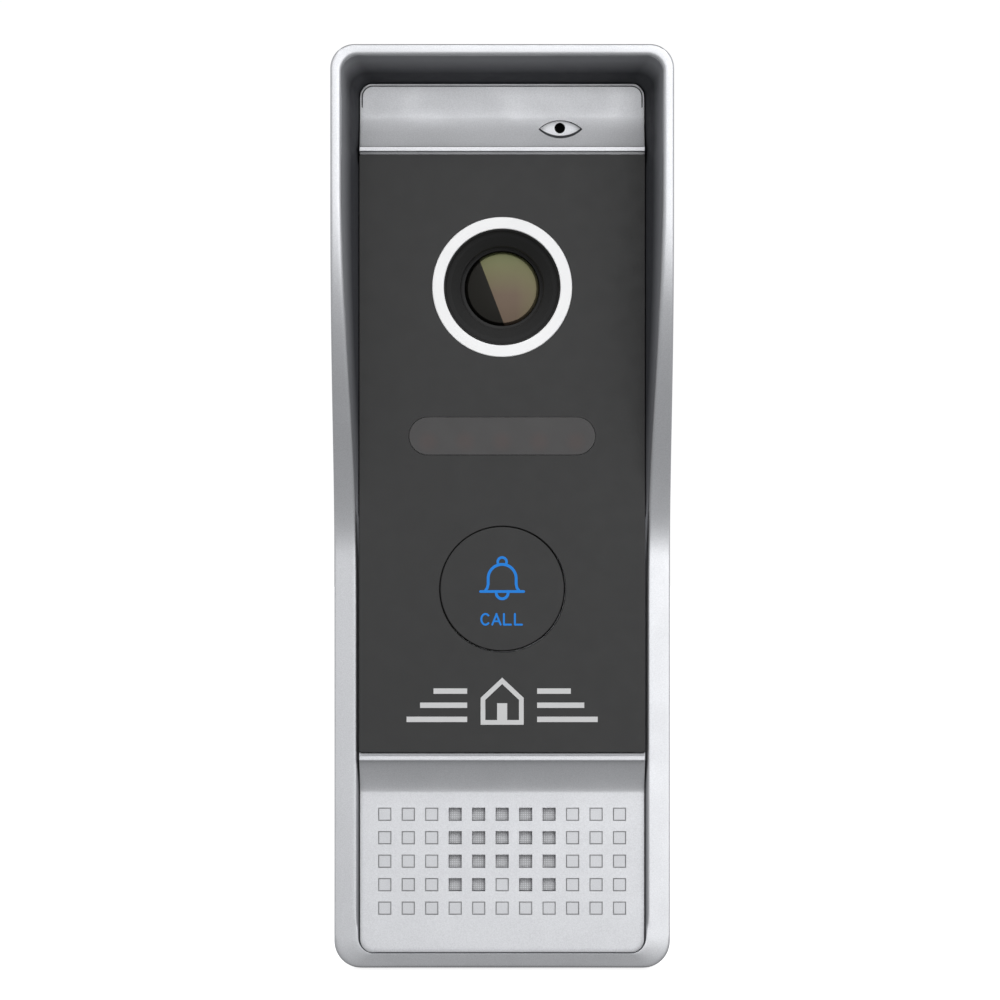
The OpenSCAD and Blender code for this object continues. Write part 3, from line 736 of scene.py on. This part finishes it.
END_FACE, RIDGE_FACE, PANEL_SEAT, SKIN_INNER = 20.8, 23.2, 21.2, 19.3
LOW_COVE_RISE, TOP_COVE_RISE, COVE_BEND = 1.7, 1.4, 1.45
SQUARE, PITCH = 1.96, 3.5
COLUMNS, ROWS = 11, 5
GRILLE_TOP_Y = -45.15
EDGE_R = 0.12
ISLAND_DROP = 0.08
SQUARE_GROOVE_W, SQUARE_GROOVE_DEPTH, HOLE_EDGE = 0.15, 0.5, 0.03
UNIT_CORNER_R = 2.0
UNIT_BACK = 12.0
# Bounds round the microphone of the faces that belong to the eye-shaped dish.
EYE_HALF_W, EYE_HALF_H, EYE_DEPTH = 3.5, 1.8, 0.7
SHELL_LOOKS = ("silver_plastic", "recess_painted_shade", "eye_floor", "blind_square")


def is_open(c, r):
    middle = COLUMNS // 2
    return abs(c - middle) <= 2 and r <= 3 and not (c == middle and r == 3)


def square_at(c, r):
    """Middle of the grille's square in column c of row r."""
    return (c - (COLUMNS - 1) / 2) * PITCH, GRILLE_TOP_Y - r * PITCH


def cove(flat_y, ridge_y, rise, n=14):
    """Hollow that sweeps up from an end face to a ridge, as (height, depth) points."""
    return [
        (flat_y + (ridge_y - flat_y) * i / n, END_FACE + rise * (i / n) ** COVE_BEND)
        for i in range(n + 1)
    ]


def housing_profile():
    """(height, depth) up the front, from the lower end face to the upper one."""
    low, high = PANEL_Y[0], PANEL_TOP
    lower = cove(low - 6.2, low - 1.33, LOW_COVE_RISE)
    lower += [(low - 1.3, 23.0), (low - 1.24, 23.14), (low - 1.1, RIDGE_FACE),
              (low - 0.6, RIDGE_FACE), (low - 0.52, 23.14), (low - 0.46, 23.0),
              (low - 0.1, 22.7), (low - 0.04, 22.55), (low - 0.03, PANEL_SEAT)]
    upper = [(high + 0.04, PANEL_SEAT), (high + 0.06, 22.4), (high + 0.4, 22.45),
             (high + 0.44, 23.08), (high + 0.55, RIDGE_FACE), (high + 1.1, RIDGE_FACE),
             (high + 1.22, 23.1), (high + 1.27, 22.5)]
    return lower + upper + list(reversed(cove(high + 5.85, high + 1.3, TOP_COVE_RISE)))


def make_front_housing():
    half, corner_r = UNIT_X[1], UNIT_CORNER_R
    profile = housing_profile()
    beside = 0.19  # grid lines also run this far beside each square
    edge = [EDGE_R * (1 - math.cos(math.radians(15 * i))) for i in range(7)]
    squares_x = [square_at(c, 0)[0] for c in range(COLUMNS)]
    squares_y = [square_at(0, r)[1] for r in range(ROWS)]
    s = SQUARE / 2
    xs = {-half + e for e in edge} | {half - e for e in edge}
    ys = {UNIT_Y[0] + e for e in edge} | {UNIT_Y[1] - e for e in edge}
    for x in squares_x:
        xs |= {x - s - beside, x - s, x + s, x + s + beside}
    for y in squares_y:
        ys |= {y - s - beside, y - s, y + s, y + s + beside}
    ys |= {y for y, _ in profile}
    for i in range(9):
        t = corner_r * (1 - math.cos(math.radians(90 * i / 8)))
        ys |= {UNIT_Y[0] + t, UNIT_Y[1] - t}
    xs = tidy_list(xs)
    ys = tidy_list(ys)

    def base_depth(y):
        if y <= profile[0][0] or y >= profile[-1][0]:
            return END_FACE
        for (y0, d0), (y1, d1) in zip(profile, profile[1:]):
            if y0 <= y <= y1:
                return d0 + (d1 - d0) * (y - y0) / max(1e-9, y1 - y0)
        return END_FACE

    def half_at(y):
        into = min(y - UNIT_Y[0], UNIT_Y[1] - y)
        if into >= corner_r:
            return half
        return half - corner_r + math.sqrt(max(0.0, corner_r ** 2 - (corner_r - into) ** 2))

    def edge_drop(t):
        return EDGE_R - math.sqrt(max(0.0, EDGE_R ** 2 - (EDGE_R - t) ** 2)) if t < EDGE_R else 0.0

    bm = bmesh.new()
    grid = []
    for y in ys:
        line = []
        for x in xs:
            wide = half_at(y)
            px = x * wide / half
            from_side = wide - abs(px)
            from_end = min(y - UNIT_Y[0], UNIT_Y[1] - y)
            drop = max(edge_drop(from_side), edge_drop(from_end))
            line.append(bm.verts.new(row(px, y, base_depth(y) - drop)))
        grid.append(line)
    ny, nx = len(ys), len(xs)
    for j in range(ny - 1):
        for i in range(nx - 1):
            bm.faces.new((grid[j][i], grid[j][i + 1], grid[j + 1][i + 1], grid[j + 1][i]))
    rim = (
        [grid[0][i] for i in range(nx)]
        + [grid[j][nx - 1] for j in range(1, ny)]
        + [grid[ny - 1][i] for i in range(nx - 2, -1, -1)]
        + [grid[j][0] for j in range(ny - 2, 0, -1)]
    )
    back = [bm.verts.new((v.co.x, -UNIT_BACK * MM, v.co.z)) for v in rim]
    for i, v in enumerate(rim):
        j = (i + 1) % len(rim)
        bm.faces.new((v, back[i], back[j], rim[j]))
    bm.faces.new(list(reversed(back)))
    bmesh.ops.recalc_face_normals(bm, faces=bm.faces)
    obj = as_object("front_shell", bm)

    groove = SQUARE_GROOVE_W
    above, bottom = END_FACE + 1, END_FACE - SQUARE_GROOVE_DEPTH
    top = END_FACE - ISLAND_DROP
    frames, islands, holes = [], [], []
    for c, x in enumerate(squares_x):
        for r, y in enumerate(squares_y):
            if is_open(c, r):
                levels = [(s + HOLE_EDGE, above), (s, END_FACE - HOLE_EDGE), (s, 12)]
                holes.append(lofted([square_loop(x, y, h, d) for h, d in levels]))
            else:
                levels = [(s, above), (s, bottom), (s - groove, bottom), (s - groove, above)]
                frames.append(lofted([square_loop(x, y, h, d) for h, d in levels], closed=True))
                levels = [(s - groove / 2, top), (s - groove / 2, above)]
                islands.append(lofted([square_loop(x, y, h, d) for h, d in levels]))
    openings = [
        prism(rounded(half - 1.85, UNIT_Y[0] + 1.9, UNIT_Y[1] - 1.9, 1), 10, SKIN_INNER),
        prism(circle(8.9, LENS_AT), 15, 30),
        prism(stadium(13.3, 2.3, WINDOW_AT), 15, 30),
        prism(circle(9.4, BUTTON_AT), 15, 30),
        eye_tool(),
        prism(circle(0.8, MIC_AT, 32), 15, 30),
        top_groove(),
    ]
    for tools in (frames, islands, holes):
        cut(obj, tools)
    for tool in openings:
        cut(obj, [tool])
    for name in SHELL_LOOKS:
        obj.data.materials.append(LOOKS[name].material)
    for face in obj.data.polygons:
        x, y, d = face.center.x / MM, face.center.z / MM, -face.center.y / MM
        face.material_index = SHELL_LOOKS.index(shell_look(x, y, d, face.normal.y))
    return finished(obj, "silver_plastic", replaces=["front_housing"], angle=14)


def shell_look(x, y, d, facing):
    """Look of the shell's face at a bench point. Facing is -1 straight to the front, 1 to the back."""
    at_eye = abs(x - MIC_AT[0]) < EYE_HALF_W and abs(y - MIC_AT[1]) < EYE_HALF_H
    at_eye = at_eye and d > END_FACE - EYE_DEPTH
    groove_ends = 0.2 < UNIT_Y[1] - y < 3.3 and END_FACE - 0.5 < d < END_FACE - 0.05
    column, line = round(x / PITCH + (COLUMNS - 1) / 2), round((GRILLE_TOP_Y - y) / PITCH)
    in_grille = line in range(ROWS) and column in range(COLUMNS)
    in_hole = in_grille and is_open(column, line) and d < END_FACE - 0.1
    on_island = in_grille and abs(d - END_FACE + ISLAND_DROP) < 0.01
    # The dish floor and the blind squares take silver copies toned for painted light and painted shade.
    if at_eye and facing < -0.99 and d < END_FACE - 0.5:
        return "eye_floor"
    if on_island and facing < -0.99:
        return "blind_square"
    # Painted shade: dark grey on the eye dish's walls, the top groove's ends and the open squares'
    # walls.
    if (at_eye and facing > -0.7) or (groove_ends and not at_eye) or in_hole:
        return "recess_painted_shade"
    return "silver_plastic"


GROOVE_INSET, GROOVE_W, GROOVE_DEPTH = 0.3, 0.18, 0.4


def top_groove():
    """Fine parting groove just inside the unit's top edge and its two corners."""
    def path(inset):
        half, top, r = UNIT_X[1] - inset, UNIT_Y[1] - inset, UNIT_CORNER_R - inset
        points = [(half, top - 3.2)] + arc(half - r, top - r, r, 0, 90, 10)
        return points + [(-x, y) for x, y in reversed(points)]

    outer, inner = path(GROOVE_INSET), path(GROOVE_INSET + GROOVE_W)
    outline = outer + list(reversed(inner))
    return prism(outline, END_FACE - GROOVE_DEPTH, END_FACE + 1)


def square_loop(x, y, h, d):
    return [(x - h, y - h, d), (x + h, y - h, d), (x + h, y + h, d), (x - h, y + h, d)]


def tidy_list(values):
    """Sorted values with near repeats dropped."""
    kept = []
    for v in sorted(values):
        if not kept or v - kept[-1] > 1e-3:
            kept.append(v)
    return kept


def almond(half, up, down, d, n=20, lift=0.0):
    """Eye shape round the microphone: two arcs of different height that meet at its corners."""
    cx, cy = MIC_AT[0] + 0.08, MIC_AT[1] - 0.25 + lift
    points = []
    for side, height in ((1, up), (-1, down)):
        r = (half * half + height * height) / (2 * height)
        reach = math.asin(min(1.0, half / r))
        for i in range(n):
            a = reach * (1 - 2 * i / n)
            points.append((
                cx + side * r * math.sin(a),
                cy + side * (r * math.cos(a) - r + height),
                d,
            ))
    return points


def eye_tool():
    """The eye-shaped dish. Its lower wall slopes, so it shows from the front, and painted shade on it
    makes a dark lower lid.
    """
    return lofted([
        almond(3.28, 1.37, 1.4, 25), almond(3.28, 1.37, 1.4, END_FACE + 0.2),
        almond(3.04, 1.1, 1.08, END_FACE - 0.55, lift=0.2),
    ])


# ---- Face panel, print and window -------------------------------------------------------------------

def make_face_panel():
    half, soft, front = PANEL_X[1], 0.1, PANEL_D[1]
    profile = ((0, PANEL_D[0]), (0, front - soft), (soft * 0.3, front - soft * 0.3), (soft, front))
    loops = [
        [(x, y, d) for x, y in rounded(half - inset, PANEL_Y[0] + inset, PANEL_TOP - inset, 0.3)]
        for inset, d in profile
    ]
    obj = as_object("black_panel", lofted(loops))
    hole_at = (BUTTON_AT[0] + 0.05, BUTTON_AT[1] - 0.06)
    hole_r, hole_edge_r = 9.4, 9.48
    hole = ((hole_r, 20), (hole_r, front - 0.08), (hole_edge_r, front + 0.001), (hole_edge_r, 25))
    cut(obj, [
        turned(hole, hole_at, closed=False, n=128),
        prism(circle(10.45, LENS_AT), 20, 25),
        prism(stadium(13.9, 2.85, WINDOW_AT), 20, 25),
    ])
    return finished(obj, "black_acrylic", replaces=["face_panel"])


def make_ir_window():
    loops = [
        [(x, y, d) for x, y in stadium(13.85 - inset, 2.8 - inset, WINDOW_AT)]
        for inset, d in ((0, 21.5), (0, 22.93), (0.03, 22.98), (0.08, 23.0))
    ]
    obj = as_object("smoked_window", lofted(loops))
    return finished(obj, "smoked_acrylic", replaces=["ir_window"])


# ---- Speaker cloth and microphone ---------------------------------------------------------------------

def make_speaker_cloth():
    """Dust cloth with a soft pad pressed into each open square."""
    _, _, (d0, d1) = bench_box("speaker_mesh")
    pad, soft = SQUARE / 2 - 0.02, 0.3
    parts = [prism(circle(11.4, SPEAKER_AT), d0, d1)]
    for c in range(COLUMNS):
        for r in range(ROWS):
            if is_open(c, r):
                x, y = square_at(c, r)
                levels = ((pad, d1 - 0.1), (pad, d1 + 0.45), (pad - soft, d1 + 0.6))
                parts.append(lofted([square_loop(x, y, h, d) for h, d in levels]))
    obj = joined("speaker_cloth", parts)
    return finished(obj, "speaker_cloth", replaces=["speaker_mesh"])


def make_microphone():
    """Bright can with a black felt cap on its front."""
    (x0, x1), _, (d0, d1) = bench_box("mic_capsule")
    r = (x1 - x0) / 2
    can = [(r - 0.1, d0), (r, d0 + 0.1), (r, d1 - 0.15), (r - 0.05, d1 - 0.1)]
    felt = [(r - 0.02, d1 - 0.12), (r - 0.05, d1 - 0.02), (r - 0.12, d1)]
    obj = joined("microphone", [turned(profile, MIC_AT, closed=False) for profile in (can, felt)])
    obj.data.materials.append(LOOKS["bright_can"].material)
    obj.data.materials.append(LOOKS["felt"].material)
    for face in obj.data.polygons:
        if face.center.y <= -(d1 - 0.13) * MM:
            face.material_index = 1
    return finished(obj, "bright_can", replaces=["mic_capsule"])


# ---- Camera -----------------------------------------------------------------------------------------

def make_lens_ring():
    inner_r, outer_r, back, front, soft = 8.66, 10.4, 21.6, 23.2, 0.16
    profile = [(inner_r, back), (outer_r, back)]
    profile += arc(outer_r - soft, front - soft, soft, 0, 90, 4)
    profile += arc(inner_r + soft, front - soft, soft, 90, 180, 4)
    obj = as_object("white_ring", turned(profile, LENS_AT, n=128))
    return finished(obj, "white_plastic", replaces=["lens_ring"])


def make_lens_bezel():
    """Stepped black funnel round the lens."""
    profile = [(6.0, 18.6), (8.85, 18.6), (8.85, 21.2), (10.4, 21.2), (10.4, 21.6), (8.6, 21.6),
               (8.6, 22.82), (8.54, 22.9), (8.44, 22.86), (8.32, 22.1), (8.2, 21.95), (7.64, 21.7),
               (7.56, 21.6), (6.3, 20.3), (6.2, 20.1), (6.15, 19.0), (6.0, 18.9)]
    obj = as_object("lens_funnel", turned(profile, LENS_AT, n=128))
    return finished(obj, "funnel_black", replaces=["lens_bezel"], angle=50)


def coating_and_reflection_look():
    """Coated lens with a painted reflection: olive sheen over most of it, with a straight edge and a
    dark remainder.
    """
    look = Look("lens_coating_and_reflection", linear(110, 105, 76), 0.3, specular=0.08)
    place = look.tree.nodes.new("ShaderNodeSeparateXYZ")
    look.link(look.coords, place.inputs[0])

    def from_line(ax, az, offset_mm):
        """Signed distance in millimetres from a line across the lens."""
        across = look.math("MULTIPLY", place.outputs["X"], ax / MM)
        up = look.math("MULTIPLY", place.outputs["Z"], az / MM)
        return look.math("ADD", look.math("ADD", across, up), -offset_mm)

    # The painted reflection's straight edge, tilted across the lens.
    tilt, edge_x = math.radians(21), -1.75
    ax, az = math.cos(tilt), math.sin(tilt)
    edge = from_line(ax, az, az * LENS_AT[1] + ax * edge_x)
    height = from_line(0, 1, LENS_AT[1])
    side = from_line(1, 0, 0)
    # Tints of the painted reflection, and the dark remainder outside it.
    green, brown, dark = linear(128, 132, 93), linear(122, 106, 92), linear(40, 39, 36)
    sheen = look.blend(look.ranged(height, 0, 1, (-1.0, 5.0)), brown, green)
    sheen = look.blend(look.ranged(side, 0, 0.6, (2.0, 5.5)), sheen, linear(138, 136, 100))
    look.repaint(look.blend(look.ranged(edge, 0, 1, (-0.05, 0.05)), dark, sheen))
    return look.bump(look.noise(3, 1), 0.002, 0.3)


def make_lens():
    LOOKS["lens_coating_and_reflection"] = coating_and_reflection_look()
    barrel = [(5.6, 16.4), (5.6, 18.05), (5.65, 18.15), (5.75, 18.2), (6.65, 18.2), (6.8, 18.05),
              (6.8, 15.2), (5.96, 15.2), (5.96, 10.2), (3.5, 10.2), (3.5, 16.4)]
    obj = as_object("lens_tube", turned(barrel, LENS_AT))
    finished(obj, "funnel_black", replaces=["lens_barrel"])
    dome_r, edge_r, apex = 22.0, 5.58, 18.85
    rings = [(edge_r, 17.0), (edge_r, 17.1)]
    for i in range(1, 12):
        r = edge_r * (1 - i / 12)
        rings.append((r, apex - dome_r + math.sqrt(dome_r ** 2 - r ** 2)))
    obj = as_object("lens_dome", turned(rings, LENS_AT, closed=False))
    finished(obj, "lens_coating_and_reflection", replaces=["front_lens"])


# ---- Call button --------------------------------------------------------------------------------------

def make_button():
    r, soft, front = 9.2, 0.14, PANEL_D[1]
    profile = [(0.02, 17.9), (1.6, 17.9), (1.6, 21.4), (8.2, 21.4), (8.2, 18.4), (10.2, 18.4),
               (10.2, 19.2), (r, 19.2)]
    profile += arc(r - soft, front - soft, soft, 0, 90, 4)
    profile.append((0.02, front))
    obj = as_object("call_cap", turned(profile, BUTTON_AT, n=128))
    return finished(obj, "button_black", body="call_button", replaces=["button_cap"])


def stroke_outline(points, width):
    """Outline of a round-ended stroke along points."""
    half = width / 2
    left, right = [], []
    for i, p in enumerate(points):
        before = Vector(points[max(0, i - 1)])
        after = Vector(points[min(len(points) - 1, i + 1)])
        along = (after - before).normalized()
        side = Vector((-along.y, along.x)) * half
        left.append((p[0] + side.x, p[1] + side.y))
        right.append((p[0] - side.x, p[1] - side.y))

    def cap(at, towards):
        start = math.degrees(math.atan2(towards.y, towards.x)) + 90
        return arc(at[0], at[1], half, start, start - 180, 8)[1:-1]

    last = Vector(points[-1]) - Vector(points[-2])
    first = Vector(points[0]) - Vector(points[1])
    return left + cap(points[-1], last) + list(reversed(right)) + cap(points[0], first)


def icon_strokes():
    """Centre lines and widths of the bell and of the word under it."""
    w, thin = 0.42, 0.28
    dome_r, dome_y, base_y = 2.08, -9.95, -11.9
    bell = [(-dome_r - 0.42, base_y + 0.12), (-dome_r - 0.12, base_y + 0.55), (-dome_r, base_y + 1.1)]
    bell += arc(0, dome_y, dome_r, 180, 0, 28)
    bell += [(dome_r, base_y + 1.1), (dome_r + 0.12, base_y + 0.55), (dome_r + 0.42, base_y + 0.12)]
    strokes = [
        (bell, w),
        ([(-3.2, base_y), (3.2, base_y)], w * 0.95),
        (arc(0, -7.5, 0.66, -28, 208, 20), w * 0.9),
        (arc(0, base_y - 0.2, 0.88, 180, 360, 20), w),
    ]
    x0, y0, lw, lh, gap = -3.1, -16.82, 1.24, 1.58, 0.39
    bends = [math.radians(a) for a in range(45, 316, 15)]
    letter_c = [
        (x0 + lw / 2 + 0.62 * math.cos(a), y0 + lh / 2 + 0.8 * math.sin(a))
        for a in bends
    ]
    strokes.append((letter_c, thin))
    ax = x0 + lw + gap
    strokes += [
        ([(ax, y0), (ax + lw / 2 + 0.02, y0 + lh)], thin),
        ([(ax + lw / 2 - 0.02, y0 + lh), (ax + lw, y0)], thin),
        ([(ax + 0.28, y0 + 0.5), (ax + lw - 0.28, y0 + 0.5)], thin * 0.9),
    ]
    for k in (2, 3):
        lx = x0 + k * (lw + gap) + 0.1
        strokes += [([(lx, y0), (lx, y0 + lh)], thin), ([(lx, y0), (lx + 1.05, y0)], thin)]
    return strokes


def make_icon():
    parts = []
    proud, apart = 0.012, 0.0004
    for k, (points, width) in enumerate(icon_strokes()):
        top = PANEL_D[1] + proud + apart * k
        parts.append(prism(stroke_outline(points, width), PANEL_D[1] - 0.3, top))
    obj = joined("bell_and_word", parts)
    return finished(obj, "icon_blue", body="call_button", replaces=["button_icon"])


# ---- Building: the rest of the CAD keeps its shapes --------------------------------------------

make_rain_shield()
make_front_housing()
make_face_panel()
make_ir_window()
make_speaker_cloth()
make_microphone()
make_lens_ring()
make_lens_bezel()
make_lens()
make_button()
make_icon()

SLOT_OF = {s["node"]: s["material_slot"] for s in frame["record"]["subparts"]}
for name, obj in frame["nodes"].items():
    if obj.hide_render:
        continue
    obj.data.materials.clear()
    obj.data.materials.append(LOOKS[SLOT_OF[name]].material)


# ---- Floor --------------------------------------------------------------------------------------------

def add_floor():
    bm = bmesh.new()
    reach, level = 3.0, (HOOD_Y[0] - 0.4) * MM
    corners = [(-reach, -reach), (reach, -reach), (reach, reach), (-reach, reach)]
    bm.faces.new([bm.verts.new((x, y, level)) for x, y in corners])
    obj = as_object("floor", bm)
    look = Look("floor", (0.9, 0.9, 0.9, 1), 0.9, specular=0.0)
    look.mottle(look.noise(40, 2), 0.004)
    look.set("Emission Color", (1, 1, 1, 1))
    look.set("Emission Strength", 0.8)
    obj.data.materials.append(look.material)
    obj.visible_diffuse = False
    obj.visible_glossy = False


add_floor()
